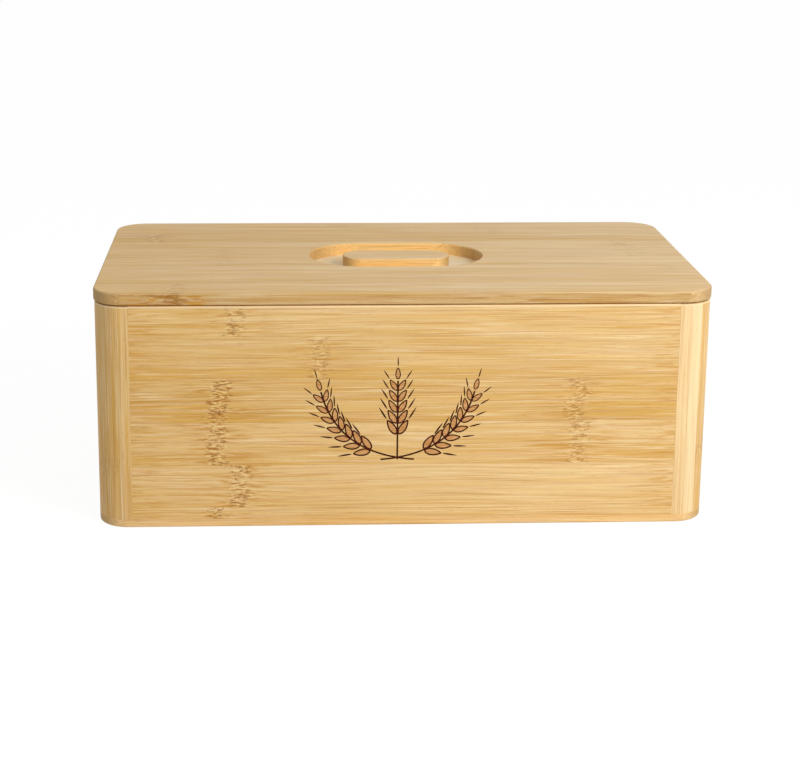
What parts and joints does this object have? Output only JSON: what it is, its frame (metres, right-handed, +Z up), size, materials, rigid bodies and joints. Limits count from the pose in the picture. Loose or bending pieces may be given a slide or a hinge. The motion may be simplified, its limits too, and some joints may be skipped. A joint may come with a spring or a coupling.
{
  "type": "bread box with lift-off lid",
  "caption": "Long low bread box of laminated bamboo with rounded upright corners and a flat lift-off lid; a grip stands in a routed oval finger recess in the lid.",
  "frame": {"origin": "centre of the box's footprint, on the surface that it stands on", "axes": "+X along the long front, to the right for someone facing the front; -Y out of the front; +Z up"},
  "size_m": [0.331, 0.181, 0.13],
  "materials": {
    "wall_bamboo": "sanded and thinly lacquered, satin",
    "post_bamboo": "sanded and thinly lacquered, satin",
    "base_bamboo": "sanded and thinly lacquered, satin",
    "lid_bamboo": "sanded and thinly lacquered, satin",
    "lid_inner_bamboo": "sanded, matt"
  },
  "bodies": {
    "box": {"base_panel": "base_bamboo", "front_panel": "wall_bamboo", "back_panel": "wall_bamboo", "left_panel": "wall_bamboo", "right_panel": "wall_bamboo", "post_front_left": "post_bamboo", "post_front_right": "post_bamboo", "post_back_left": "post_bamboo", "post_back_right": "post_bamboo"},
    "lid": {"lid_board": "lid_bamboo", "lid_inner_panel": "lid_inner_bamboo", "lid_grip": "lid_bamboo"}
  },
  "joints": [
    {"name": "lid_lift", "type": "slide", "parent": "box", "child": "lid", "axis": [0, 0, 1], "range_m": [0, 0.08]}
  ]
}
